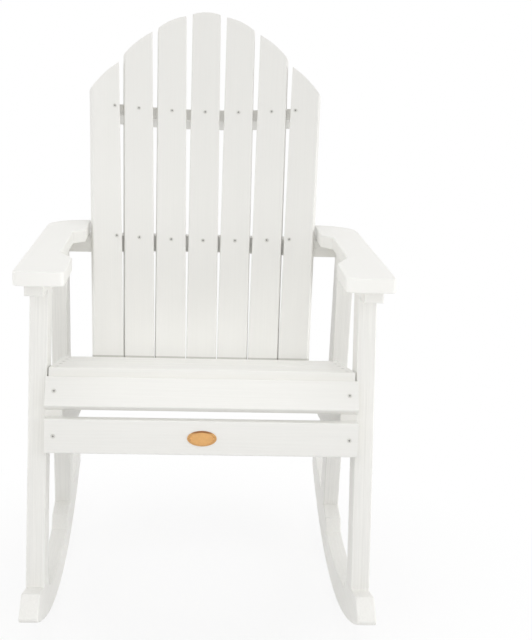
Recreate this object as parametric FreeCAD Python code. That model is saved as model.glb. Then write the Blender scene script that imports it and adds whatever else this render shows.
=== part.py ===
import FreeCAD, Part
import math
import os
from FreeCAD import Vector

# Rocking armchair with a fan of seven back slats, in millimetres.
# +Z is up, the sitter faces -Y, and the sitter's left hand is at +X.
# The origin is on the floor, under the line where the rockers touch it.

# Side frames: legs, rockers and arm bars are cut from one thickness of board
frame_t = 32.0
inside_w = 528.0
edge_round = 2.5

# Rockers
rocker_radius = 1075.0
rocker_length = 880.0
waist_depth = 50.0
nose_slope = 13.0
tip_lean = 55.0
tip_round = 5.0
tip_edge_round = 3.0
tail_flat = 9.4
front_land_behind = 12.0
rear_land_ahead = 55.0
step_run = 15.0

# Legs: places are those of the front edge of each foot, and rises are from the rocker's underside
leg_depth = 64.0
front_foot_y = -337.5
front_foot_rise = 58.6
front_lean = 8.6
rear_foot_y = 172.5
rear_foot_rise = 77.1
rear_lean = 10.3

# Arms, and the bar that carries each of them on its two legs
arm_height = 675.0
arm_t = 24.0
arm_front_y = -417.5
arm_bow = 4.0
arm_overhang = 10.0
arm_w = 82.0
arm_corner = 9.0
scoop_depth = 24.0
scoop_front_y = -268.5
scoop_front_run = 64.0
scoop_rear_y = 75.5
scoop_rear_run = 33.0
scoop_round = 4.5
arm_rear_reach = 28.4
arm_rear_inset = 3.0
arm_rear_round = 76.0
bar_h = 30.0
bar_front_y = -342.5

# Seat
slat_t = 19.0
seat_front_y = -282.5
seat_front_z = 488.0
seat_slope = 9.7
seat_slat_w = 57.0
seat_slat_gap = 5.5
seat_slat_count = 5
seat_end_gap = 2.0
seat_rail_t = 28.0
rail_front_drop = 4.0
rail_rear_y = 180.0
rail_bottom_slope = 5.3

# Aprons, fixed across the front ends of the seat rails
apron_t = 19.0
apron_overlap = 1.0
upper_apron_w = 54.0
upper_apron_tilt = 34.6
apron_nose_gap = 0.6
apron_top_lap = 4.5
lower_apron_y = -332.5
lower_apron_z = 381.0
lower_apron_w = 60.0

# Back: flat slats on a hollow cone, leaning back from the seat
recline = 25.0
back_foot_y = 54.5
back_foot_z = 420.0
back_slat_w = 58.6
back_slat_count = 7
back_pitch_angle = 5.08
back_radius = 676.0
back_flare = 0.171
slat_below = 42.0
apex_z = 1094.5
slat_top_bulge = 5.2
# Falls of the top corners below the apex, from the middle slat outwards: inner corner, outer corner
top_corner_falls = (
    (slat_top_bulge, slat_top_bulge),
    (10.3, 41.3),
    (50.6, 105.8),
    (124.4, 188.8),
)

# Back rails: places of the upper and lower rails are measured up the back
rail_t = 24.0
rail_w = 50.0
upper_rail_v = 535.0
upper_rail_inset = 12.0
lower_rail_drop = 14.0
mid_rail_lap = 1.9
mid_rail_margin = 5.0
mid_rail_end_flat = 5.3

# Small screws: slats, aprons, and arms from below
hole_gap = 0.3
screw_head_d = 8.0
screw_head_h = 2.6
screw_shank_d = 4.2
slat_screw_len = 46.0
seat_screw_len = 50.0
apron_screw_len = 52.0
arm_screw_len = 44.0
outer_screw_shift = 18.5
mid_screw_rise = 17.0
arm_screw_front_y = -302.5
arm_screw_mid_y = -72.5
# Rear pair under each arm: in from the leg's inner face, and behind the mid rail's front
arm_screw_rear = ((9.0, 26.5), (24.0, 51.5))

# Long screws: feet, leg tops, rear ends of the bars, and ends of the lower back rail
long_head_d = 12.0
long_head_h = 4.0
long_shank_d = 6.0
rocker_screw_len = 84.0
rocker_counterbore = 12.0
leg_top_screw_len = 78.0
leg_screw_half_pitch = 14.0
leg_top_screw_shift = 6.0
bar_screw_len = 75.0
bar_screw_bite = 45.0
bar_screw_shift = 8.0
cross_screw_len = 62.0
cross_screw_half_pitch = 14.0

# Lag bolts that hold the seat rails to the legs, with their washers
lag_d = 8.0
lag_len = 52.0
lag_head_d = 14.0
lag_head_h = 5.5
washer_d = 20.0
washer_t = 1.8
front_lag_z = 391.0
front_lag_half_pitch = 29.0
rear_lag_z = 348.0
rear_lag_half_pitch = 18.0

# Blank oval plate on the lower apron
plate_w = 50.0
plate_h = 27.0
plate_t = 1.6
plate_pin_d = 3.2
plate_pin_head_d = 4.6
plate_pin_len = 10.0
plate_pin_pitch = 39.0

# Worked out from the values above
inner_x = inside_w / 2
outer_x = inner_x + frame_t
frame_mid_x = inner_x + frame_t / 2
half_length = rocker_length / 2
arm_bottom = arm_height - arm_t
bar_bottom = arm_bottom - bar_h
front_tan = math.tan(math.radians(front_lean))
rear_tan = math.tan(math.radians(rear_lean))
front_run = leg_depth * math.cos(math.radians(front_lean))
rear_run = leg_depth * math.cos(math.radians(rear_lean))
seat_tan = math.tan(math.radians(seat_slope))
recline_rad = math.radians(recline)
seat_rail_x = inner_x - seat_rail_t
rail_mid_x = inner_x - seat_rail_t / 2
arm_outer_x = outer_x + arm_overhang
scoop_x = arm_outer_x - arm_w + scoop_depth
big = 4000.0


def yz_prism(points, x0, x1):
    """Straight-sided outline in the YZ plane, carried from x0 to x1."""
    loop = [Vector(x0, y, z) for y, z in points]
    loop.append(loop[0])
    face = Part.Face(Part.makePolygon(loop))
    return face.extrude(Vector(x1 - x0, 0, 0))


def mirrored(shape):
    return shape.mirror(Vector(0, 0, 0), Vector(1, 0, 0))


def softened(shape, radius, keep):
    """Round the edges that the test keeps."""
    edges = [edge for edge in shape.Edges if keep(edge)]
    return shape.makeFillet(radius, edges)


def edge_direction(edge):
    way = edge.Vertexes[-1].Point - edge.Vertexes[0].Point
    return way.normalize()


def along(direction, limit=0.995):
    """Test for straight edges that run along a direction."""
    way = Vector(direction).normalize()

    def keep(edge):
        straight = isinstance(edge.Curve, Part.Line)
        return straight and abs(edge_direction(edge).dot(way)) > limit

    return keep


def rod(start, direction, length, diameter):
    return Part.makeCylinder(diameter / 2, length, start, direction)


def screw(face_point, direction, length, head_d, head_h, shank_d):
    """Flat-headed screw: the head's face is at face_point, the shank runs along direction."""
    way = Vector(direction).normalize()
    head = Part.makeCone(head_d / 2, shank_d / 2, head_h, face_point, way)
    shank = rod(face_point + way * head_h * 0.5, way, length - head_h * 0.5, shank_d)
    return head.fuse(shank).removeSplitter()


def screw_hole(face_point, direction, length, head_d, head_h, shank_d, sink=0.0):
    """Room for a screw, open for a depth of sink above its head."""
    way = Vector(direction).normalize()
    seat_point = face_point - way * sink
    above = rod(seat_point, way, sink + 0.02, head_d + 2 * hole_gap) if sink > 0 else None
    top = head_d / 2 + hole_gap
    bottom = shank_d / 2 + hole_gap
    funnel = Part.makeCone(top, bottom, head_h + hole_gap, face_point, way)
    shank = rod(face_point, way, length + hole_gap, shank_d + 2 * hole_gap)
    room = funnel.fuse(shank)
    if above is not None:
        room = room.fuse(above)
    return room


def small_screw(point, way, length):
    return screw(point, way, length, screw_head_d, screw_head_h, screw_shank_d)


def small_hole(point, way, length):
    return screw_hole(point, way, length, screw_head_d, screw_head_h, screw_shank_d)


def long_screw(point, way, length):
    return screw(point, way, length, long_head_d, long_head_h, long_shank_d)


def long_hole(point, way, length, sink):
    return screw_hole(point, way, length, long_head_d, long_head_h, long_shank_d, sink)


def drilled(shape, holes):
    return shape.cut(Part.makeCompound(holes)) if holes else shape


def arc_z(y, radius):
    """Height of an arc of this radius about the rocker's centre."""
    return rocker_radius - math.sqrt(radius ** 2 - y ** 2)


front_foot_z = arc_z(front_foot_y, rocker_radius) + front_foot_rise
rear_foot_z = arc_z(rear_foot_y, rocker_radius) + rear_foot_rise


def front_leg_y(z):
    """Front face of the front leg at height z."""
    return front_foot_y + (z - front_foot_z) * front_tan


def rear_leg_y(z):
    """Front face of the rear leg at height z."""
    return rear_foot_y - (z - rear_foot_z) * rear_tan


def front_land_z(y):
    """Flat top of the rocker under the front leg."""
    return front_foot_z - (y - front_foot_y) * front_tan


def rear_land_z(y):
    """Flat top of the rocker under the rear leg."""
    return rear_foot_z + (y - rear_foot_y) * rear_tan


def seat_top_z(y):
    return seat_front_z - (y - seat_front_y) * seat_tan


# The back is drawn in its own frame: x across, v up the slats, n towards the rear
back_x = Vector(1, 0, 0)
back_v = Vector(0, math.sin(recline_rad), math.cos(recline_rad))
back_n = Vector(0, math.cos(recline_rad), -math.sin(recline_rad))
back_o = Vector(0, back_foot_y, back_foot_z)


def back_point(x, v, n):
    return back_o + back_x * x + back_v * v + back_n * n


def slat_angle(index):
    """Turn of a back slat about the back's own upright line, in radians."""
    return math.radians(back_pitch_angle) * (index - (back_slat_count - 1) / 2)


def slat_axes(index):
    """A point on the slat's front face, its length, its width and its inward normal."""
    turn = slat_angle(index)
    foot = back_point(back_radius * math.sin(turn), 0, -back_radius * (1 - math.cos(turn)))
    rise = back_v + back_x * back_flare * math.sin(turn)
    rise = rise - back_n * back_flare * (1 - math.cos(turn))
    rise.normalize()
    across = back_x * math.cos(turn) - back_n * math.sin(turn)
    across = across - rise * across.dot(rise)
    across.normalize()
    inward = across.cross(rise) * -1
    return foot, rise, across, inward


def on_face_at_z(index, level_z, shift=0.0, depth=0.0):
    """Point of a back slat at a height, shift across it and depth behind its front face."""
    foot, rise, across, inward = slat_axes(index)
    base = foot + across * shift + inward * depth
    return base + rise * ((level_z - base.z) / rise.z)


def on_face_at_v(index, level_v, shift=0.0, depth=0.0):
    """Point of a back slat at a level up the back, shift across it and depth behind its face."""
    foot, rise, across, inward = slat_axes(index)
    base = foot + across * shift + inward * depth
    along_rise = (level_v - (base - back_o).dot(back_v)) / rise.dot(back_v)
    return base + rise * along_rise


# The bars end, and the mid back rail starts, just ahead of the outer slats' backs
middle_slat = back_slat_count // 2
bar_rear_y = on_face_at_z(0, bar_bottom, 0.0, slat_t).y - mid_rail_lap
arm_rear_y = on_face_at_z(middle_slat, arm_bottom, 0.0, slat_t).y + arm_rear_reach


def make_rocker():
    """Runner of a side frame: round below, with a flat land under each foot."""
    waist_radius = rocker_radius - waist_depth
    lean = math.radians(tip_lean)
    nose_tan = math.tan(math.radians(nose_slope))
    round_y = -half_length + tip_round
    round_z = arc_z(round_y, rocker_radius - tip_round)
    out_y = round_y / (rocker_radius - tip_round)
    out_z = (round_z - rocker_radius) / (rocker_radius - tip_round)
    face_y = round_y - tip_round * math.cos(lean)
    face_z = round_z + tip_round * math.sin(lean)
    nose_z = front_foot_z - (face_y - front_foot_y) * nose_tan
    face_reach = (nose_z - face_z) / (math.cos(lean) + nose_tan * math.sin(lean))
    front_land_end = front_foot_y + front_run + front_land_behind
    rear_land_start = rear_foot_y - rear_land_ahead
    waist_front = front_land_end + step_run
    waist_rear = rear_land_start - step_run
    waist_mid = (waist_front + waist_rear) / 2
    tail_z = rear_land_z(half_length)
    tail_bottom_z = arc_z(half_length, rocker_radius)
    tail_round = tail_z - tail_bottom_z - tail_flat
    p_bottom_front = Vector(0, round_y + tip_round * out_y, round_z + tip_round * out_z)
    p_foremost = Vector(0, -half_length, round_z)
    p_face = Vector(0, face_y, face_z)
    p_tip = Vector(0, face_y + face_reach * math.sin(lean), face_z + face_reach * math.cos(lean))
    p_nose = Vector(0, front_foot_y, front_foot_z)
    p_bottom_rear = Vector(0, half_length, tail_bottom_z)
    p_front_land = Vector(0, front_land_end, front_land_z(front_land_end))
    p_waist_front = Vector(0, waist_front, arc_z(waist_front, waist_radius))
    p_waist_mid = Vector(0, waist_mid, arc_z(waist_mid, waist_radius))
    p_waist_rear = Vector(0, waist_rear, arc_z(waist_rear, waist_radius))
    p_rear_land = Vector(0, rear_land_start, rear_land_z(rear_land_start))
    p_tail = Vector(0, half_length, tail_z)
    edges = [
        Part.Arc(p_bottom_rear, Vector(0, 0, 0), p_bottom_front).toShape(),
        Part.Arc(p_bottom_front, p_foremost, p_face).toShape(),
        Part.makeLine(p_face, p_tip),
        Part.makeLine(p_tip, p_nose),
        Part.makeLine(p_nose, p_front_land),
        Part.makeLine(p_front_land, p_waist_front),
        Part.Arc(p_waist_front, p_waist_mid, p_waist_rear).toShape(),
        Part.makeLine(p_waist_rear, p_rear_land),
        Part.makeLine(p_rear_land, p_tail),
        Part.makeLine(p_tail, p_bottom_rear),
    ]
    face = Part.Face(Part.Wire(edges))
    runner = face.extrude(Vector(frame_t, 0, 0))
    runner.translate(Vector(inner_x, 0, 0))

    def cross_edge_near(point, reach):
        def keep(edge):
            centre = edge.CenterOfMass
            flat = Vector(0, centre.y, centre.z)
            crosses = abs(edge_direction(edge).x) > 0.99
            return crosses and (flat - point).Length < reach
        return keep

    def side_outline(edge):
        crosses = abs(edge_direction(edge).x) > 0.5
        on_side = all(abs(abs(v.Point.x - frame_mid_x) - frame_t / 2) < 0.01 for v in edge.Vertexes)
        return on_side and not crosses

    runner = softened(runner, tail_round, cross_edge_near(p_tail, 3))
    runner = softened(runner, tip_edge_round, cross_edge_near(p_tip, 3))
    return softened(runner, edge_round, side_outline)


def make_leg(foot_y, run, lean_tan, leg_y, land_z):
    """Leaning leg: its foot lies flat on the rocker's land, its top is level under the bar."""
    level_depth = run * (1 + lean_tan ** 2)
    top_y = leg_y(bar_bottom)
    points = [
        (foot_y, land_z(foot_y)),
        (foot_y + run, land_z(foot_y + run)),
        (top_y + level_depth, bar_bottom),
        (top_y, bar_bottom),
    ]
    leg = yz_prism(points, inner_x, outer_x)
    way = Vector(0, top_y - foot_y, bar_bottom - land_z(foot_y))
    return softened(leg, edge_round, along(way))


def make_arm():
    """Arm board with a shallow scoop in its inner edge, which clears the sitter's side."""
    inner = arm_outer_x - arm_w
    rear_inner = inner + arm_rear_inset
    front = arm_front_y
    rear_run = scoop_rear_run * arm_rear_inset / scoop_depth
    p_fi = Vector(inner, front + arm_bow, arm_bottom)
    p_fm = Vector((inner + arm_outer_x) / 2, front, arm_bottom)
    p_fo = Vector(arm_outer_x, front + arm_bow, arm_bottom)
    p_ro = Vector(arm_outer_x, arm_rear_y, arm_bottom)
    p_ri = Vector(rear_inner, arm_rear_y, arm_bottom)
    p_s4 = Vector(rear_inner, scoop_rear_y - rear_run, arm_bottom)
    p_s3 = Vector(scoop_x, scoop_rear_y - scoop_rear_run, arm_bottom)
    p_s2 = Vector(scoop_x, scoop_front_y + scoop_front_run, arm_bottom)
    p_s1 = Vector(inner, scoop_front_y, arm_bottom)
    edges = [Part.Arc(p_fi, p_fm, p_fo).toShape()]
    corners = [p_fo, p_ro, p_ri, p_s4, p_s3, p_s2, p_s1, p_fi]
    for start, end in zip(corners, corners[1:]):
        edges.append(Part.makeLine(start, end))
    arm = Part.Face(Part.Wire(edges)).extrude(Vector(0, 0, arm_t))

    def upright_near(point):
        def keep(edge):
            centre = edge.CenterOfMass
            flat = Vector(centre.x, centre.y, point.z)
            return abs(edge_direction(edge).z) > 0.99 and (flat - point).Length < 1
        return keep

    arm = softened(arm, arm_rear_round, upright_near(p_ro))
    arm = softened(arm, arm_corner, upright_near(p_fo))
    arm = softened(arm, arm_corner, upright_near(p_fi))
    for point in (p_s1, p_s2, p_s3, p_s4):
        arm = softened(arm, scoop_round, upright_near(point))

    def rim(height):
        def keep(edge):
            level = all(abs(v.Point.z - height) < 0.01 for v in edge.Vertexes)
            return level and abs(edge.CenterOfMass.z - height) < 0.01
        return keep

    arm = softened(arm, edge_round, rim(arm_height))
    return softened(arm, edge_round, rim(arm_bottom))


def make_bar():
    """Bar on top of both legs of a side, ending at the mid back rail."""
    bar = Part.makeBox(frame_t, bar_rear_y - bar_front_y, bar_h)
    bar.translate(Vector(inner_x, bar_front_y, bar_bottom))

    def front_end(edge):
        ahead = all(abs(v.Point.y - bar_front_y) < 0.01 for v in edge.Vertexes)
        return ahead and edge.CenterOfMass.z < arm_bottom - 0.5

    return softened(bar, edge_round, front_end)


# Apron sections, each as (y, z) of front top, back top, back bottom, front bottom
tilt = math.radians(upper_apron_tilt)
down_y = -math.sin(tilt)
down_z = -math.cos(tilt)
nose_y = seat_front_y - slat_t * math.sin(math.radians(seat_slope))
nose_z = seat_front_z - slat_t * math.cos(math.radians(seat_slope))
# The apron's top edge passes a small gap below the corner of the front seat slat
edge_in_y = math.cos(tilt)
edge_in_z = -math.sin(tilt)
upper_back_top = (
    nose_y + apron_nose_gap * down_y + edge_in_y * apron_top_lap,
    nose_z + apron_nose_gap * down_z + edge_in_z * apron_top_lap,
)
upper_front_top = (
    upper_back_top[0] - apron_t * edge_in_y,
    upper_back_top[1] - apron_t * edge_in_z,
)
upper_back_bottom = (
    upper_back_top[0] + upper_apron_w * down_y,
    upper_back_top[1] + upper_apron_w * down_z,
)
upper_front_bottom = (
    upper_front_top[0] + upper_apron_w * down_y,
    upper_front_top[1] + upper_apron_w * down_z,
)
lower_back_y = lower_apron_y + apron_t
lower_top_z = lower_apron_z + lower_apron_w / 2
lower_bottom_z = lower_apron_z - lower_apron_w / 2
apron_half = inner_x + apron_overlap


def seat_under_z(y):
    """Underside of the seat slats, where they lie on the seat rails."""
    return seat_top_z(y) - slat_t / math.cos(math.radians(seat_slope))


def make_seat_rail():
    """Side rail of the seat, bolted to the inner faces of both legs."""
    y = upper_back_top[0]
    z = upper_back_top[1]
    climb = (seat_under_z(y) - z) / (math.cos(tilt) + seat_tan * math.sin(tilt))
    top_front = (y - climb * down_y, z - climb * down_z)
    bottom_front_z = lower_bottom_z - rail_front_drop
    fall = math.tan(math.radians(rail_bottom_slope))
    bottom_rear_z = bottom_front_z - (rail_rear_y - lower_back_y) * fall
    points = [
        top_front,
        upper_back_bottom,
        (lower_back_y, lower_top_z),
        (lower_back_y, bottom_front_z),
        (rail_rear_y, bottom_rear_z),
        (rail_rear_y, seat_under_z(rail_rear_y)),
    ]
    return yz_prism(points, seat_rail_x, inner_x)


def make_seat_slat(index):
    """Seat slat number index, counted from the front."""
    width = 2 * (inner_x - seat_end_gap)
    slat = Part.makeBox(width, seat_slat_w, slat_t)
    slat.translate(Vector(-width / 2, index * (seat_slat_w + seat_slat_gap), -slat_t))
    slat = softened(slat, edge_round, along((1, 0, 0)))
    slat.rotate(Vector(0, 0, 0), Vector(1, 0, 0), -seat_slope)
    slat.translate(Vector(0, seat_front_y, seat_front_z))
    return slat


def make_apron(section):
    apron = yz_prism(section, -apron_half, apron_half)
    return softened(apron, edge_round, along((1, 0, 0)))


def top_corners(index):
    """Upper corners of a back slat's front face, right then left as the sitter has them."""
    inner_fall, outer_fall = top_corner_falls[abs(index - middle_slat)]
    falls = (outer_fall, inner_fall) if index < middle_slat else (inner_fall, outer_fall)
    apex_v = (apex_z - back_foot_z) / math.cos(recline_rad)
    half = back_slat_w / 2
    right = on_face_at_v(index, apex_v - falls[0], -half)
    left = on_face_at_v(index, apex_v - falls[1], half)
    return right, left


def make_back_slat(index):
    """One flat slat of the fan, its top cut round between its two upper corners."""
    foot, rise, across, inward = slat_axes(index)
    half = across * back_slat_w / 2
    low = foot - rise * slat_below
    right_top, left_top = top_corners(index)
    mid_top = (right_top + left_top) / 2 + rise * slat_top_bulge
    edges = [
        Part.makeLine(low - half, low + half),
        Part.makeLine(low + half, left_top),
        Part.Arc(left_top, mid_top, right_top).toShape(),
        Part.makeLine(right_top, low - half),
    ]
    slat = Part.Face(Part.Wire(edges)).extrude(inward * slat_t)
    return softened(slat, edge_round, along(rise, 0.9999))


def back_space(depth):
    """Everything ahead of the faces that lie depth behind the fronts of the back slats."""
    space = None
    for index in range(back_slat_count):
        foot, rise, across, inward = slat_axes(index)
        block = Part.makeBox(2 * big, 2 * big, big)
        matrix = FreeCAD.Matrix(
            across.x, rise.x, -inward.x, 0,
            across.y, rise.y, -inward.y, 0,
            across.z, rise.z, -inward.z, 0,
            0, 0, 0, 1,
        )
        block.translate(Vector(-big, -big, 0))
        block = block.transformed(matrix)
        block.translate(foot + inward * depth)
        space = block if space is None else space.common(block)
    return space


def back_slab(v0, v1, half_width):
    """Slab square to the middle slat, from v0 to v1 up the back."""
    slab = Part.makeBox(2 * half_width, v1 - v0, big)
    matrix = FreeCAD.Matrix(
        back_x.x, back_v.x, -back_n.x, 0,
        back_x.y, back_v.y, -back_n.y, 0,
        back_x.z, back_v.z, -back_n.z, 0,
        0, 0, 0, 1,
    )
    slab.translate(Vector(-half_width, v0, -big / 2))
    slab = slab.transformed(matrix)
    slab.translate(back_o)
    return slab


slat_backs = back_space(slat_t)
rail_backs = back_space(slat_t + rail_w)


def half_fan(v):
    """Half width of the fan of slats at a level up the back."""
    turn = slat_angle(back_slat_count - 1)
    radius = back_radius + back_flare * v
    return radius * math.sin(turn) + back_slat_w / 2 * math.cos(turn)


def make_curved_rail(v_top, half_width):
    """Rail square to the slats, hollowed in flats that the slats lie on."""
    slab = back_slab(v_top - rail_t, v_top, half_width)
    return slab.common(rail_backs).cut(slat_backs)


def make_mid_rail():
    """Level rail under the rear ends of the arms, behind the back slats."""
    half = outer_x - mid_rail_margin
    depth = arm_rear_y - bar_rear_y - mid_rail_margin
    slab = Part.makeBox(2 * half, depth, bar_h)
    slab.translate(Vector(-half, bar_rear_y, bar_bottom))

    def rear_corner(edge):
        upright = abs(edge_direction(edge).z) > 0.99
        return upright and edge.CenterOfMass.y > bar_rear_y + 1

    slab = softened(slab, depth - mid_rail_end_flat, rear_corner)
    return slab.cut(slat_backs)


def slat_screw_spots():
    """Head point and direction of each screw of the back slats, in three rows."""
    upper_v = upper_rail_v - rail_t / 2
    mid_point = on_face_at_z(middle_slat, bar_bottom + mid_screw_rise, 0.0, slat_t)
    mid_v = (mid_point - back_o).dot(back_v)
    lower_v = -lower_rail_drop - rail_t / 2
    spots = []
    for level_v in (upper_v, mid_v, lower_v):
        for index in range(back_slat_count):
            shift = 0.0
            if index == 0:
                shift = outer_screw_shift
            if index == back_slat_count - 1:
                shift = -outer_screw_shift
            inward = slat_axes(index)[3]
            spots.append((on_face_at_v(index, level_v, shift), inward))
    return spots


def seat_screw_spots():
    """Two screws for each seat slat, into the middle of the seat rails."""
    angle = math.radians(seat_slope)
    down = Vector(0, -math.sin(angle), -math.cos(angle))
    spots = []
    for index in range(seat_slat_count):
        reach = index * (seat_slat_w + seat_slat_gap) + seat_slat_w / 2
        y = seat_front_y + reach * math.cos(angle)
        z = seat_front_z - reach * math.sin(angle)
        for side in (-1, 1):
            spots.append((Vector(side * rail_mid_x, y, z), down))
    return spots


def apron_screw_spots():
    """One screw at each end of each apron, into the front ends of the seat rails."""
    upper_mid_y = (upper_front_top[0] + upper_front_bottom[0]) / 2
    upper_mid_z = (upper_front_top[1] + upper_front_bottom[1]) / 2
    spots = []
    for side in (-1, 1):
        spots.append((Vector(side * rail_mid_x, upper_mid_y, upper_mid_z), Vector(0, edge_in_y, edge_in_z)))
        spots.append((Vector(side * rail_mid_x, lower_apron_y, lower_apron_z), Vector(0, 1, 0)))
    return spots


def arm_screw_spots():
    """Screws that hold an arm, driven up through its bar and through the mid back rail."""
    places = [(frame_mid_x, arm_screw_front_y), (frame_mid_x, arm_screw_mid_y)]
    for x_in, y_behind in arm_screw_rear:
        places.append((inner_x - x_in, bar_rear_y + y_behind))
    spots = []
    for x, y in places:
        for side in (-1, 1):
            spots.append((Vector(side * x, y, bar_bottom), Vector(0, 0, 1)))
    return spots


def rocker_screw_spots():
    """Long screws from the underside of the rockers, up the middle of each leg's foot."""
    centre = Vector(0, 0, rocker_radius)
    feet = (
        (front_foot_y, front_run, front_land_z, Vector(0, front_tan, 1)),
        (rear_foot_y, rear_run, rear_land_z, Vector(0, -rear_tan, 1)),
    )
    spots = []
    for foot_y, run, land_z, way in feet:
        way.normalize()
        for offset in (-leg_screw_half_pitch, leg_screw_half_pitch):
            y = foot_y + run / 2 + offset
            land = Vector(0, y, land_z(y))
            out = land - centre
            b = out.dot(way)
            depth = b + math.sqrt(b * b - out.dot(out) + rocker_radius ** 2)
            head = land - way * (depth - rocker_counterbore)
            for side in (-1, 1):
                spots.append((Vector(side * frame_mid_x, head.y, head.z), way))
    return spots


def leg_top_screw_spots():
    """Long screws down through the bars into the tops of the legs, hidden by the arms."""
    half_top = leg_depth / 2 / math.cos(math.radians(front_lean))
    spots = []
    for leg_y in (front_leg_y, rear_leg_y):
        middle = leg_y(bar_bottom) + half_top
        for offset in (-leg_screw_half_pitch, leg_screw_half_pitch):
            for side in (-1, 1):
                x = side * (frame_mid_x + leg_top_screw_shift)
                spots.append((Vector(x, middle + offset, arm_bottom), Vector(0, 0, -1)))
    return spots


def bar_screw_spots():
    """Long screws from the rear, through the mid back rail into the ends of the bars."""
    y = bar_rear_y - bar_screw_bite + bar_screw_len
    z = bar_bottom + bar_h / 2
    x = frame_mid_x - bar_screw_shift
    return [(Vector(side * x, y, z), Vector(0, -1, 0)) for side in (-1, 1)]


def rail_end_middle():
    """Middle of the end face of the lower back rail, at the seat rail."""
    v = -lower_rail_drop - rail_t / 2
    turn = slat_angle(back_slat_count - 1)
    radius = back_radius + back_flare * v
    n_front = -radius * (1 - math.cos(turn)) - (seat_rail_x - radius * math.sin(turn)) * math.tan(turn)
    n = n_front + (slat_t + rail_w / 2) / math.cos(turn)
    return back_point(seat_rail_x, v, n)


def cross_screw_spots():
    """Long screws through the seat rails into the ends of the lower back rail."""
    middle = rail_end_middle()
    spots = []
    for offset in (-cross_screw_half_pitch, cross_screw_half_pitch):
        spot = middle + back_n * offset
        for side in (-1, 1):
            spots.append((Vector(side * inner_x, spot.y, spot.z), Vector(-side, 0, 0)))
    return spots


def lag_spots():
    """Face points and directions of the lag bolts, on the inner faces of the seat rails."""
    spots = []
    front_mid = leg_depth / 2 / math.cos(math.radians(front_lean))
    rear_mid = leg_depth / 2 / math.cos(math.radians(rear_lean))
    rows = (
        (front_leg_y, front_mid, front_lag_z, front_lag_half_pitch),
        (rear_leg_y, rear_mid, rear_lag_z, rear_lag_half_pitch),
    )
    for leg_y, half_width, middle_z, half_pitch in rows:
        for z in (middle_z - half_pitch, middle_z + half_pitch):
            y = leg_y(z) + half_width
            for side in (-1, 1):
                spots.append((Vector(side * seat_rail_x, y, z), Vector(side, 0, 0)))
    return spots


def make_lag(point, way):
    """Hexagon-headed bolt whose head sits on its washer."""
    under = point - way * washer_t
    corners = []
    for step in range(7):
        angle = math.radians(60 * step)
        radius = lag_head_d / 2 / math.cos(math.radians(30))
        corners.append(under + Vector(0, radius * math.cos(angle), radius * math.sin(angle)))
    head = Part.Face(Part.makePolygon(corners)).extrude(way * -lag_head_h)
    return head.fuse(rod(under, way, lag_len, lag_d)).removeSplitter()


def make_washer(point, way):
    ring = rod(point - way * washer_t, way, washer_t, washer_d)
    return ring.cut(rod(point - way * 2 * washer_t, way, 4 * washer_t, lag_d + 2 * hole_gap))


def lag_hole(point, way):
    return rod(point, way, lag_len - washer_t + hole_gap, lag_d + 2 * hole_gap)


def plate_pin_points():
    return [Vector(side * plate_pin_pitch / 2, lower_apron_y, lower_apron_z) for side in (-1, 1)]


def make_plate():
    """Blank oval plate, domed at its rim, with a hole at each end for its pins."""
    ellipse = Part.Ellipse(Vector(0, 0, 0), plate_w / 2, plate_h / 2)
    plate = Part.Face(Part.Wire(ellipse.toShape())).extrude(Vector(0, 0, plate_t))
    front = [edge for edge in plate.Edges if edge.BoundBox.ZMin > plate_t - 0.01]
    plate = plate.makeFillet(plate_t / 2, front)
    plate.rotate(Vector(0, 0, 0), Vector(1, 0, 0), 90)
    plate.translate(Vector(0, lower_apron_y, lower_apron_z))
    holes = [
        rod(point + Vector(0, -2 * plate_t, 0), Vector(0, 1, 0), 4 * plate_t, plate_pin_d + 2 * hole_gap)
        for point in plate_pin_points()
    ]
    return drilled(plate, holes)


def make_plate_pin(point):
    face = point - Vector(0, plate_t, 0)
    head = Part.makeSphere(plate_pin_head_d / 2, face, Vector(0, -1, 0), 0, 90)
    shank = rod(face, Vector(0, 1, 0), plate_pin_len, plate_pin_d)
    return head.fuse(shank).removeSplitter()


def group(shapes):
    return Part.makeCompound(shapes)


small_sets = {
    "back_slat_screws": (slat_screw_spots(), slat_screw_len),
    "seat_slat_screws": (seat_screw_spots(), seat_screw_len),
    "apron_screws": (apron_screw_spots(), apron_screw_len),
    "arm_screws": (arm_screw_spots(), arm_screw_len),
}
long_sets = {
    "rocker_screws": (rocker_screw_spots(), rocker_screw_len, 2 * rocker_counterbore),
    "leg_top_screws": (leg_top_screw_spots(), leg_top_screw_len, 0.0),
    "bar_end_screws": (bar_screw_spots(), bar_screw_len, arm_rear_y),
    "lower_rail_screws": (cross_screw_spots(), cross_screw_len, 0.0),
}

holes = []
for spots, length in small_sets.values():
    holes.extend(small_hole(point, way, length) for point, way in spots)
for spots, length, sink in long_sets.values():
    holes.extend(long_hole(point, way, length, sink) for point, way in spots)
holes.extend(lag_hole(point, way) for point, way in lag_spots())
pin_way = Vector(0, 1, 0)
holes.extend(
    rod(point, pin_way, plate_pin_len, plate_pin_d + 2 * hole_gap) for point in plate_pin_points()
)


def with_holes(shape):
    """Cut the holes whose boxes meet the shape's box."""
    box = shape.BoundBox
    near = [hole for hole in holes if hole.BoundBox.intersect(box)]
    return drilled(shape, near)


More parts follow.
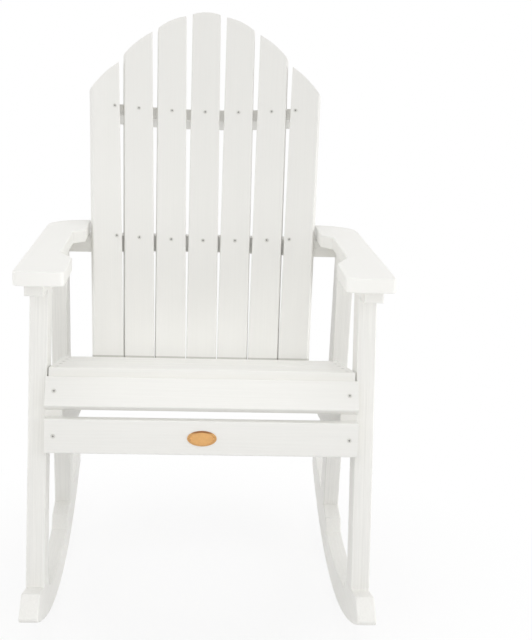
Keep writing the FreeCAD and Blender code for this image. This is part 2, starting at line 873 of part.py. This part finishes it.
rocker = make_rocker()
front_leg = make_leg(front_foot_y, front_run, front_tan, front_leg_y, front_land_z)
rear_leg = make_leg(rear_foot_y, rear_run, rear_tan, rear_leg_y, rear_land_z)
arm = make_arm()
bar = make_bar()
seat_rail = make_seat_rail()
seat_slats = [make_seat_slat(index) for index in range(seat_slat_count)]
upper_apron = make_apron([upper_front_top, upper_back_top, upper_back_bottom, upper_front_bottom])
lower_apron = make_apron([
    (lower_apron_y, lower_top_z),
    (lower_back_y, lower_top_z),
    (lower_back_y, lower_bottom_z),
    (lower_apron_y, lower_bottom_z),
])
back_slats = [make_back_slat(index) for index in range(back_slat_count)]
upper_rail = make_curved_rail(upper_rail_v, half_fan(upper_rail_v) - upper_rail_inset)
lower_rail = make_curved_rail(-lower_rail_drop, seat_rail_x)
mid_rail = make_mid_rail()

boards = {}
handed = {
    "left_rocker": rocker, "left_front_leg": front_leg, "left_rear_leg": rear_leg,
    "left_arm": arm, "left_arm_bar": bar, "left_seat_rail": seat_rail,
}
for name, shape in handed.items():
    boards[name] = shape
    boards[name.replace("left", "right", 1)] = mirrored(shape)
for index, slat in enumerate(seat_slats):
    boards["seat_slat_%d" % (index + 1)] = slat
for index, slat in enumerate(back_slats):
    boards["back_slat_%d" % (index + 1)] = slat
boards["upper_apron"] = upper_apron
boards["lower_apron"] = lower_apron
boards["upper_back_rail"] = upper_rail
boards["mid_back_rail"] = mid_rail
boards["lower_back_rail"] = lower_rail

bodies = {name: with_holes(board) for name, board in boards.items()}
for name, (spots, length) in small_sets.items():
    bodies[name] = group([small_screw(point, way, length) for point, way in spots])
for name, (spots, length, sink) in long_sets.items():
    bodies[name] = group([long_screw(point, way, length) for point, way in spots])
bodies["lag_bolts"] = group([make_lag(point, way) for point, way in lag_spots()])
bodies["lag_washers"] = group([make_washer(point, way) for point, way in lag_spots()])
bodies["blank_plate"] = make_plate()
bodies["plate_pins"] = group([make_plate_pin(point) for point in plate_pin_points()])

os.makedirs("parts", exist_ok=True)
for name, shape in bodies.items():
    shape.exportStep("parts/%s.step" % name)
    print(name, round(shape.Volume / 1000), shape.isValid(), len(shape.Solids))
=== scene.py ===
import math

import bmesh
import bpy
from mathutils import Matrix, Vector


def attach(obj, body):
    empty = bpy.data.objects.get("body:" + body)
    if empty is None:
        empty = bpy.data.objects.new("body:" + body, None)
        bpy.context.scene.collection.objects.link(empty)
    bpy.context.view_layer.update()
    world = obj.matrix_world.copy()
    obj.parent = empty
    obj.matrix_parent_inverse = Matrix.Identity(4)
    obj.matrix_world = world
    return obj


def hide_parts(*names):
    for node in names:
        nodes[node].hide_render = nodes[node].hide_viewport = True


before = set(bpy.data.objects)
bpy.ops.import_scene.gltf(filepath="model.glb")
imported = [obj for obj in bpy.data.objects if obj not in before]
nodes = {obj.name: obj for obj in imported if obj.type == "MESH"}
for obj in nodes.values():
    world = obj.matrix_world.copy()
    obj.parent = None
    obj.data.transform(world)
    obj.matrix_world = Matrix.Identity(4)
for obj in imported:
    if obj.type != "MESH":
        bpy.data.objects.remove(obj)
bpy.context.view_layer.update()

# White rocking armchair of plastic lumber, in metres.
# +Z is up, the sitter faces -Y, and the sitter's left hand is at +X.

scene = bpy.context.scene
scene.view_settings.view_transform = "Standard"

# How each board's embossed grain runs, along the length of the board
FRONT_LEG_LEAN = math.radians(8.6)
REAR_LEG_LEAN = math.radians(10.3)
SEAT_RAIL_SLOPE = math.radians(7.5)
RECLINE = math.radians(25)
SLAT_TURN = math.radians(5.08)
SLAT_FLARE = 0.171

LUMBER_COLOUR = (0.862, 0.855, 0.823)
# Deep grain shades a board, so its base colour is this much lighter for each step of depth
LUMBER_LIFT = 0.05
# Colour of the painted shade at the foot of each back slat
PAINTED_FOOT_SHADE = (0.60, 0.59, 0.55)
SCREW_COAT = (0.74, 0.73, 0.69)
# Painted shade in the screws' drive recesses
RECESS_PAINTED_SHADE = (0.34, 0.335, 0.315)
STEEL_COLOUR = (0.56, 0.56, 0.54)
PLATE_COLOUR = (0.78, 0.43, 0.155)
PLATE_RIM_COLOUR = (0.30, 0.125, 0.035)
PLATE_CENTRE = Vector((0, -0.3341, 0.381))
PLATE_HALF_WIDTH = 0.025
PLATE_HALF_HEIGHT = 0.0135

# The band of painted shade at the slats' feet ends at this level, which falls by this much towards the
# rear.
# It is a colour that stands in for the dark strip in the photo, where the slats end above the seat.
PAINTED_FOOT_SHADE_TOP = 0.4446
PAINTED_FOOT_SHADE_FALL = 0.24
PAINTED_FOOT_SHADE_EDGE = 0.0005

# Screw heads, and the recess in each that a driver fits
SMALL_HEAD_D = 0.008
SMALL_RECESS_D = 0.0034
LONG_HEAD_D = 0.012
LONG_RECESS_D = 0.0055

# Bead on the plate's rim
BEAD_RADIUS = 0.0006
BEAD_INSET = 0.0034

# Edges sharper than this are eased
SHARP_FROM = math.radians(28)

# Index of refraction of the plastic, and the strength of the room's own light
PLASTIC_IOR = 1.49
AMBIENT = 0.49


# ---------------------------------------------------------------- shader groups

def new_group(name, inputs, outputs):
    group = bpy.data.node_groups.new(name, "ShaderNodeTree")
    for label, kind, value in inputs:
        socket = group.interface.new_socket(name=label, in_out="INPUT", socket_type=kind)
        if value is not None:
            socket.default_value = value
    for label, kind in outputs:
        group.interface.new_socket(name=label, in_out="OUTPUT", socket_type=kind)
    entry = group.nodes.new("NodeGroupInput")
    leave = group.nodes.new("NodeGroupOutput")
    return group, entry, leave


def math_node(tree, operation, first, second=None, clamp=False):
    """Math node; each operand is a socket or a number. Gives its output socket."""
    node = tree.nodes.new("ShaderNodeMath")
    node.operation = operation
    node.use_clamp = clamp
    for slot, value in zip(node.inputs, (first, second)):
        if value is None:
            continue
        if isinstance(value, (int, float)):
            slot.default_value = value
        else:
            tree.links.new(value, slot)
    return node.outputs[0]


def noise_node(tree, vector, scale, detail, roughness=0.5, distortion=0.0):
    node = tree.nodes.new("ShaderNodeTexNoise")
    node.inputs["Detail"].default_value = detail
    node.inputs["Roughness"].default_value = roughness
    node.inputs["Distortion"].default_value = distortion
    if isinstance(scale, (int, float)):
        node.inputs["Scale"].default_value = scale
    else:
        tree.links.new(scale, node.inputs["Scale"])
    tree.links.new(vector, node.inputs["Vector"])
    return node.outputs["Fac"]


def ranged(tree, value, low, high, out_low=0.0, out_high=1.0):
    node = tree.nodes.new("ShaderNodeMapRange")
    node.interpolation_type = "SMOOTHSTEP"
    node.inputs["From Min"].default_value = low
    node.inputs["From Max"].default_value = high
    node.inputs["To Min"].default_value = out_low
    node.inputs["To Max"].default_value = out_high
    tree.links.new(value, node.inputs["Value"])
    return node.outputs["Result"]


def stretched(tree, vector, scale):
    node = tree.nodes.new("ShaderNodeVectorMath")
    node.operation = "MULTIPLY"
    node.inputs[1].default_value = scale
    tree.links.new(vector, node.inputs[0])
    return node.outputs["Vector"]


def embossed_grain():
    """Pressed wood grain: fine strokes and broader streaks along X, and faint growth lines."""
    group, entry, leave = new_group(
        "embossed grain",
        [("Vector", "NodeSocketVector", None), ("Strokes", "NodeSocketFloat", 0.4),
         ("Streaks", "NodeSocketFloat", 0.4), ("Figure", "NodeSocketFloat", 0.1)],
        [("Height", "NodeSocketFloat"), ("Shade", "NodeSocketFloat")])
    vector = entry.outputs["Vector"]
    links = group.links
    strokes = noise_node(group, stretched(group, vector, (14, 1100, 1100)), 1.0, 3.0, 0.6)
    strokes = ranged(group, strokes, 0.36, 0.62)
    streaks = noise_node(group, stretched(group, vector, (3.0, 330, 330)), 1.0, 3.0, 0.5)
    streaks = ranged(group, streaks, 0.34, 0.66)
    # Growth lines: distance from the pith, bent by a slow noise along the board
    split = group.nodes.new("ShaderNodeSeparateXYZ")
    links.new(vector, split.inputs[0])
    drift = noise_node(group, stretched(group, vector, (2.2, 9, 9)), 1.0, 2.0)
    y = math_node(group, "ADD", split.outputs["Y"], 0.045)
    z = math_node(group, "ADD", split.outputs["Z"], 0.028)
    reach = math_node(group, "SQRT", math_node(group, "ADD", math_node(group, "MULTIPLY", y, y),
                                               math_node(group, "MULTIPLY", z, z)))
    bent = math_node(group, "ADD", reach, math_node(group, "MULTIPLY", drift, 0.05))
    rings = math_node(group, "SINE", math_node(group, "MULTIPLY", bent, 2 * math.pi / 0.0052))
    rings = ranged(group, rings, -0.4, 1.0)
    a = math_node(group, "MULTIPLY", strokes, entry.outputs["Strokes"])
    b = math_node(group, "MULTIPLY", rings, entry.outputs["Figure"])
    c = math_node(group, "MULTIPLY", streaks, entry.outputs["Streaks"])
    height = math_node(group, "ADD", math_node(group, "ADD", a, b), c)
    links.new(height, leave.inputs["Height"])
    links.new(height, leave.inputs["Shade"])
    return group


def surface_mottle():
    """Slow, faint changes of tone, as of moulded plastic that has been handled."""
    group, entry, leave = new_group(
        "surface mottle",
        [("Vector", "NodeSocketVector", None), ("Scale", "NodeSocketFloat", 6.0)],
        [("Mask", "NodeSocketFloat")])
    cloud = noise_node(group, entry.outputs["Vector"], entry.outputs["Scale"], 3.0, 0.55)
    group.links.new(ranged(group, cloud, 0.3, 0.7), leave.inputs["Mask"])
    return group


GRAIN = embossed_grain()
MOTTLE = surface_mottle()


def mixed_colour(tree, mask, first, second):
    node = tree.nodes.new("ShaderNodeMix")
    node.data_type = "RGBA"
    for slot, value in ((node.inputs[6], first), (node.inputs[7], second)):
        if isinstance(value, tuple):
            slot.default_value = (*value, 1)
        else:
            tree.links.new(value, slot)
    if isinstance(mask, (int, float)):
        node.inputs[0].default_value = mask
    else:
        tree.links.new(mask, node.inputs[0])
    return node.outputs[2]


def blank_material(name):
    material = bpy.data.materials.new(name)
    material.use_nodes = True
    return material, material.node_tree, material.node_tree.nodes["Principled BSDF"]


def placed_group(tree, group, vector, **values):
    node = tree.nodes.new("ShaderNodeGroup")
    node.node_tree = group
    tree.links.new(vector, node.inputs["Vector"])
    for label, value in values.items():
        node.inputs[label].default_value = value
    return node


def times(colour, factor):
    return tuple(min(1.0, part * factor) for part in colour)


def bumped(tree, shader, height, distance, strength=1.0):
    bump = tree.nodes.new("ShaderNodeBump")
    bump.inputs["Distance"].default_value = distance
    bump.inputs["Strength"].default_value = strength
    tree.links.new(height, bump.inputs["Height"])
    tree.links.new(bump.outputs["Normal"], shader.inputs["Normal"])


def painted_foot_shade(tree, coords, colour):
    """Paint shade on the foot of a back slat: a darker colour up to the level set for the band."""
    parts = tree.nodes.new("ShaderNodeSeparateXYZ")
    tree.links.new(coords, parts.inputs[0])
    fall = math_node(tree, "MULTIPLY", parts.outputs["Y"], PAINTED_FOOT_SHADE_FALL)
    level = math_node(tree, "ADD", parts.outputs["Z"], fall)
    mask = ranged(tree, level, PAINTED_FOOT_SHADE_TOP - PAINTED_FOOT_SHADE_EDGE, PAINTED_FOOT_SHADE_TOP + PAINTED_FOOT_SHADE_EDGE)
    return mixed_colour(tree, mask, PAINTED_FOOT_SHADE, colour)


def lumber(name, way, order, depth):
    """White plastic lumber: grain runs along way, order sets its figure, depth how deep it is."""
    material, tree, shader = blank_material(name)
    coords = tree.nodes.new("ShaderNodeTexCoord").outputs["Object"]
    turn = tree.nodes.new("ShaderNodeMapping")
    turn.inputs["Rotation"].default_value = way.rotation_difference(Vector((1, 0, 0))).to_euler()
    turn.inputs["Location"].default_value = (0.37 * order, 0.0113 * (order % 5), 0.0171 * (order % 4))
    tree.links.new(coords, turn.inputs["Vector"])
    along = turn.outputs["Vector"]
    grain = placed_group(tree, GRAIN, along, Strokes=0.45, Streaks=0.45, Figure=0.1)
    mottle = placed_group(tree, MOTTLE, along, Scale=5.0)
    tone = 1.0 + 0.003 * ((order * 7) % 5 - 2) + LUMBER_LIFT * max(0.0, depth - 0.8)
    base = times(LUMBER_COLOUR, tone)
    low = times(base, 1 - 0.05 * depth)
    colour = mixed_colour(tree, grain.outputs["Shade"], low, base)
    clouded = mixed_colour(tree, mottle.outputs["Mask"], times(base, 0.988), base)
    both = tree.nodes.new("ShaderNodeMix")
    both.data_type = "RGBA"
    both.blend_type = "DARKEN"
    both.inputs[0].default_value = 1.0
    tree.links.new(colour, both.inputs[6])
    tree.links.new(clouded, both.inputs[7])
    # Eased edges are painted a little lighter, as wear and as a painted highlight, and are a little
    # glossier.
    edge = tree.nodes.new("ShaderNodeAttribute")
    edge.attribute_name = "soft_edge"
    finish = mixed_colour(tree, edge.outputs["Fac"], both.outputs[2], times(base, 1.01))
    # The back slats' feet get painted shade.
    if "back slat" in name:
        finish = painted_foot_shade(tree, coords, finish)
    tree.links.new(finish, shader.inputs["Base Color"])
    rough = math_node(tree, "ADD", math_node(tree, "MULTIPLY", grain.outputs["Shade"], -0.10), 0.58)
    rough = math_node(tree, "SUBTRACT", rough, math_node(tree, "MULTIPLY", edge.outputs["Fac"], 0.08))
    tree.links.new(rough, shader.inputs["Roughness"])
    shader.inputs["IOR"].default_value = PLASTIC_IOR
    bumped(tree, shader, grain.outputs["Height"], 0.00025 * depth, 0.6)
    return material


# ---------------------------------------------------------------- boards

def cad_copy(name):
    """A CAD shape's mesh, merged so that each flat face is one face again."""
    bm = bmesh.new()
    bm.from_mesh(nodes[name].data)
    bmesh.ops.remove_doubles(bm, verts=bm.verts, dist=2e-6)
    bmesh.ops.dissolve_limit(bm, angle_limit=math.radians(0.5), use_dissolve_boundaries=False,
                             verts=bm.verts, edges=bm.edges, delimit={"NORMAL"})
    return bm


def eased_edges(bm, ease):
    """Bevel the sharp edges of a mesh and give the new faces."""
    sharp = [e for e in bm.edges if len(e.link_faces) == 2 and e.calc_face_angle(0) > SHARP_FROM]
    made = bmesh.ops.bevel(bm, geom=sharp, offset=ease, offset_type="OFFSET", segments=2, profile=0.5,
                           affect="EDGES", clamp_overlap=True, material=-1)
    return made["faces"]


def finished_board(name, edge=0.0009):
    """A board's CAD shape with its sharp edges softened, as a saw-cut and sanded board has them."""
    mesh = bpy.data.meshes.new(name + "_board")
    bm = cad_copy(name)
    mark = bm.faces.layers.float.new("soft_edge")
    for face in eased_edges(bm, edge):
        face[mark] = 1.0
    for face in bm.faces:
        face.smooth = True
    bm.to_mesh(mesh)
    bm.free()
    board = bpy.data.objects.new(name + "_board", mesh)
    scene.collection.objects.link(board)
    mesh.set_sharp_from_angle(angle=math.radians(50))
    normals = board.modifiers.new("flat faces", "WEIGHTED_NORMAL")
    normals.keep_sharp = True
    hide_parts(name)
    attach(board, "root")
    return board


def slat_way(index):
    """Direction up back slat number index, which the fan spreads from the middle one."""
    turn = SLAT_TURN * (index - 4)
    up = Vector((0, math.sin(RECLINE), math.cos(RECLINE)))
    back = Vector((0, math.cos(RECLINE), -math.sin(RECLINE)))
    way = up + Vector((SLAT_FLARE * math.sin(turn), 0, 0)) - back * SLAT_FLARE * (1 - math.cos(turn))
    return way.normalized()


ACROSS = Vector((1, 0, 0))
board_ways = {}
for side in ("left", "right"):
    board_ways[side + "_front_leg"] = Vector((0, math.sin(FRONT_LEG_LEAN), math.cos(FRONT_LEG_LEAN)))
    board_ways[side + "_rear_leg"] = Vector((0, -math.sin(REAR_LEG_LEAN), math.cos(REAR_LEG_LEAN)))
    board_ways[side + "_rocker"] = Vector((0, 1, 0))
    board_ways[side + "_arm"] = Vector((0, 1, 0))
    board_ways[side + "_arm_bar"] = Vector((0, 1, 0))
    board_ways[side + "_seat_rail"] = Vector((0, math.cos(SEAT_RAIL_SLOPE), -math.sin(SEAT_RAIL_SLOPE)))
for number in range(1, 6):
    board_ways["seat_slat_%d" % number] = ACROSS
for number in range(1, 8):
    board_ways["back_slat_%d" % number] = slat_way(number)
for name in ("upper_apron", "lower_apron", "upper_back_rail", "mid_back_rail", "lower_back_rail"):
    board_ways[name] = ACROSS


def grain_depth(name):
    """The grain is deepest on the legs and nearly worn off the arms."""
    if "leg" in name:
        return 1.6
    if "rocker" in name:
        return 1.1
    if "arm" in name and "bar" not in name:
        return 0.2
    if "slat" in name:
        return 0.45
    return 0.7


for order, (name, way) in enumerate(board_ways.items()):
    board = finished_board(name)
    board.data.materials.clear()
    label = "lumber " + name.replace("_", " ")
    board.data.materials.append(lumber(label, way, order, grain_depth(name)))


# ---------------------------------------------------------------- metal

def steel(name, colour, rough, streak):
    material, tree, shader = blank_material(name)
    coords = tree.nodes.new("ShaderNodeTexCoord").outputs["Object"]
    mottle = placed_group(tree, MOTTLE, coords, Scale=streak)
    tone = mixed_colour(tree, mottle.outputs["Mask"], times(colour, 0.82), colour)
    tree.links.new(tone, shader.inputs["Base Color"])
    shader.inputs["Metallic"].default_value = 1.0
    spread = math_node(tree, "ADD", math_node(tree, "MULTIPLY", mottle.outputs["Mask"], -0.12), rough)
    tree.links.new(spread, shader.inputs["Roughness"])
    return material


def coated_screw():
    """White coat on a screw's head, with painted shade in the recess that the driver turns."""
    material, tree, shader = blank_material("coated screw")
    coords = tree.nodes.new("ShaderNodeTexCoord").outputs["Object"]
    mottle = placed_group(tree, MOTTLE, coords, Scale=700.0)
    coat = mixed_colour(tree, mottle.outputs["Mask"], times(SCREW_COAT, 0.9), SCREW_COAT)
    # The recess faces are painted in the darker colour, as painted shade.
    recess = tree.nodes.new("ShaderNodeAttribute")
    recess.attribute_name = "recess"
    tone = mixed_colour(tree, recess.outputs["Fac"], coat, RECESS_PAINTED_SHADE)
    tree.links.new(tone, shader.inputs["Base Color"])
    rough = math_node(tree, "ADD", math_node(tree, "MULTIPLY", mottle.outputs["Mask"], -0.1), 0.5)
    tree.links.new(rough, shader.inputs["Roughness"])
    return material


def plate_metal(name):
    """Warm metal, darker all round the rim and dark brown along the rim's upper curve."""
    material, tree, shader = blank_material(name)
    coords = tree.nodes.new("ShaderNodeTexCoord").outputs["Object"]
    mottle = placed_group(tree, MOTTLE, coords, Scale=220.0)
    place = tree.nodes.new("ShaderNodeMapping")
    place.vector_type = "TEXTURE"
    place.inputs["Location"].default_value = PLATE_CENTRE
    place.inputs["Scale"].default_value = (PLATE_HALF_WIDTH, 1, PLATE_HALF_HEIGHT)
    tree.links.new(coords, place.inputs["Vector"])
    parts = tree.nodes.new("ShaderNodeSeparateXYZ")
    tree.links.new(place.outputs["Vector"], parts.inputs[0])
    across = parts.outputs["X"]
    up = parts.outputs["Z"]
    across_squared = math_node(tree, "MULTIPLY", across, across)
    up_squared = math_node(tree, "MULTIPLY", up, up)
    reach = math_node(tree, "SQRT", math_node(tree, "ADD", across_squared, up_squared))
    rim = ranged(tree, reach, 0.74, 0.84)
    high = ranged(tree, up, 0.62, 0.78)
    upper_rim_dark = math_node(tree, "MULTIPLY", rim, high)
    metal = mixed_colour(tree, mottle.outputs["Mask"], times(PLATE_COLOUR, 0.92), PLATE_COLOUR)
    rim_darker = mixed_colour(tree, rim, metal, times(PLATE_COLOUR, 0.8))
    tone = mixed_colour(tree, upper_rim_dark, rim_darker, PLATE_RIM_COLOUR)
    tree.links.new(tone, shader.inputs["Base Color"])
    rough = math_node(tree, "ADD", math_node(tree, "MULTIPLY", upper_rim_dark, 0.2), 0.38)
    tree.links.new(rough, shader.inputs["Roughness"])
    return material


def finished_piece(bm, name, suffix, material, sharp_angle=35):
    """Make a piece of this mesh; it stands in for the CAD node that it is named after."""
    mesh = bpy.data.meshes.new(name + suffix)
    for face in bm.faces:
        face.smooth = True
    bm.to_mesh(mesh)
    bm.free()
    piece = bpy.data.objects.new(name + suffix, mesh)
    scene.collection.objects.link(piece)
    mesh.set_sharp_from_angle(angle=math.radians(sharp_angle))
    mesh.materials.append(material)
    if name in nodes:
        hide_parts(name)
    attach(piece, "root")
    return piece


def head_caps(bm, head_area):
    """Flat ends of the screws' heads: the round faces of about this area or more."""
    return [face for face in bm.faces if len(face.verts) > 8 and face.calc_area() > head_area]


def headed_screws(name, head_d, recess_d, material):
    """Screws whose heads have a rounded rim and a round recess for the driver."""
    bm = cad_copy(name)
    mark = bm.faces.layers.float.new("recess")
    caps = head_caps(bm, 0.8 * math.pi * (head_d / 2) ** 2)
    rim = head_d * 0.07
    bmesh.ops.inset_individual(bm, faces=caps, thickness=rim, depth=rim * 0.6, use_even_offset=True)
    bmesh.ops.inset_individual(bm, faces=caps, thickness=rim, depth=rim * 0.3, use_even_offset=True)
    flat = (head_d - recess_d) / 2 - 2 * rim
    bmesh.ops.inset_individual(bm, faces=caps, thickness=flat, depth=0, use_even_offset=True)
    made = bmesh.ops.inset_individual(bm, faces=caps, thickness=recess_d * 0.08, depth=-recess_d * 0.4,
                                      use_even_offset=True)
    for face in made["faces"] + caps:
        face[mark] = 1.0
    return finished_piece(bm, name, "_finished", material)


def eased_metal(name, ease, material):
    """Bolts or washers with their sharp edges eased."""
    bm = cad_copy(name)
    eased_edges(bm, ease)
    return finished_piece(bm, name, "_finished", material)


def plate_bead(radius, inset):
    """Raised bead that follows the oval plate's rim."""
    bm = bmesh.new()
    rows = []
    steps = 96
    sides = 10
    for step in range(steps):
        angle = 2 * math.pi * step / steps
        away = Vector((math.cos(angle), 0, math.sin(angle)))
        centre = PLATE_CENTRE + Vector((
            (PLATE_HALF_WIDTH - inset) * away.x, 0, (PLATE_HALF_HEIGHT - inset) * away.z))
        row = []
        for side in range(sides):
            turn = 2 * math.pi * side / sides
            offset = away * radius * math.cos(turn) + Vector((0, -radius * math.sin(turn), 0))
            row.append(bm.verts.new(centre + offset))
        rows.append(row)
    for step, row in enumerate(rows):
        following = rows[(step + 1) % steps]
        for side in range(sides):
            beyond = (side + 1) % sides
            bm.faces.new((row[side], row[beyond], following[beyond], following[side]))
    bmesh.ops.recalc_face_normals(bm, faces=bm.faces)
    return bm


steel_material = steel("stainless steel", STEEL_COLOUR, 0.42, 900.0)
screw_material = coated_screw()
plate_material = plate_metal("plate metal")
for name in ("back_slat_screws", "seat_slat_screws", "apron_screws", "arm_screws"):
    headed_screws(name, SMALL_HEAD_D, SMALL_RECESS_D, screw_material)
for name in ("rocker_screws", "leg_top_screws", "bar_end_screws", "lower_rail_screws"):
    headed_screws(name, LONG_HEAD_D, LONG_RECESS_D, screw_material)
eased_metal("lag_bolts", 0.0006, steel_material)
eased_metal("lag_washers", 0.0003, steel_material)
for name in ("blank_plate", "plate_pins"):
    nodes[name].data.materials.clear()
    nodes[name].data.materials.append(plate_material)
finished_piece(plate_bead(BEAD_RADIUS, BEAD_INSET), "plate", "_bead", plate_material)


# ---------------------------------------------------------------- floor, light, camera

def seen_rays(tree):
    """Mask of the rays that come from the camera, or from it by way of a gloss or a clear piece."""
    path = tree.nodes.new("ShaderNodeLightPath").outputs
    seen = math_node(tree, "ADD", path["Is Camera Ray"], path["Is Glossy Ray"], True)
    return math_node(tree, "ADD", seen, path["Is Transmission Ray"], True)


def stage_material():
    """Pale floor that keeps the shadow near the chair and runs out to white further off."""
    material = bpy.data.materials.new("pale floor")
    material.use_nodes = True
    tree = material.node_tree
    tree.nodes.clear()
    out = tree.nodes.new("ShaderNodeOutputMaterial")
    diffuse = tree.nodes.new("ShaderNodeBsdfDiffuse")
    diffuse.inputs["Color"].default_value = (0.86, 0.86, 0.86, 1)
    white = tree.nodes.new("ShaderNodeEmission")
    white.inputs["Strength"].default_value = 1.0
    coords = tree.nodes.new("ShaderNodeTexCoord").outputs["Object"]
    length = tree.nodes.new("ShaderNodeVectorMath")
    length.operation = "LENGTH"
    tree.links.new(coords, length.inputs[0])
    far = ranged(tree, length.outputs["Value"], 0.3, 0.8, 0.85, 1.0)
    mask = math_node(tree, "MULTIPLY", seen_rays(tree), far)
    mix = tree.nodes.new("ShaderNodeMixShader")
    tree.links.new(mask, mix.inputs[0])
    tree.links.new(diffuse.outputs[0], mix.inputs[1])
    tree.links.new(white.outputs[0], mix.inputs[2])
    tree.links.new(mix.outputs[0], out.inputs["Surface"])
    return material


floor_mesh = bpy.data.meshes.new("floor")
bm = bmesh.new()
bmesh.ops.create_grid(bm, x_segments=1, y_segments=1, size=30)
bm.to_mesh(floor_mesh)
bm.free()
floor = bpy.data.objects.new("floor", floor_mesh)
floor_mesh.materials.append(stage_material())
scene.collection.objects.link(floor)

world = bpy.data.worlds.new("studio")
scene.world = world
world.use_nodes = True
tree = world.node_tree
tree.nodes.clear()
world_out = tree.nodes.new("ShaderNodeOutputWorld")
ambient = tree.nodes.new("ShaderNodeBackground")
ambient.inputs["Color"].default_value = (1, 1, 1, 1)
ambient.inputs["Strength"].default_value = AMBIENT
backdrop = tree.nodes.new("ShaderNodeBackground")
backdrop.inputs["Color"].default_value = (1, 1, 1, 1)
backdrop.inputs["Strength"].default_value = 1.0
mix = tree.nodes.new("ShaderNodeMixShader")
tree.links.new(seen_rays(tree), mix.inputs[0])
tree.links.new(ambient.outputs[0], mix.inputs[1])
tree.links.new(backdrop.outputs[0], mix.inputs[2])
tree.links.new(mix.outputs[0], world_out.inputs["Surface"])


def softbox(name, place, aim, width, height, power):
    light = bpy.data.lights.new(name, "AREA")
    light.shape = "RECTANGLE"
    light.size = width
    light.size_y = height
    light.energy = power
    lamp = bpy.data.objects.new(name, light)
    lamp.location = place
    lamp.rotation_euler = (Vector(aim) - Vector(place)).to_track_quat("-Z", "Y").to_euler()
    scene.collection.objects.link(lamp)


CENTRE = (0, 0, 0.5)
softbox("left softbox", (2.8, -0.4, 1.0), CENTRE, 1.8, 1.6, 32)
softbox("right softbox", (-2.8, -0.4, 1.0), CENTRE, 1.8, 1.6, 20)
softbox("rear top softbox", (0, 0.9, 2.8), CENTRE, 2.0, 2.0, 8.3)
softbox("front top softbox", (0, -0.8, 3.4), (0, 0, 0.4), 3.0, 3.0, 17)
softbox("rear softbox", (0, 1.4, 2.2), (0, 0, 0.4), 2.0, 1.5, 7.3)
softbox("seat softbox", (0, -1.25, 0.8), CENTRE, 1.4, 0.5, 4.2)

camera_data = bpy.data.cameras.new("camera")
camera_data.sensor_fit = "VERTICAL"
camera_data.sensor_height = 24
camera_data.lens = 51.4227
camera_data.shift_x = 0.00585
camera_data.shift_y = 0.00358
camera = bpy.data.objects.new("camera", camera_data)
camera.location = (-0.02896, -2.56026, 1.04681)
camera.rotation_euler = [math.radians(a) for a in (78.2637, -1.7379, -2.8478)]
scene.collection.objects.link(camera)
scene.camera = camera
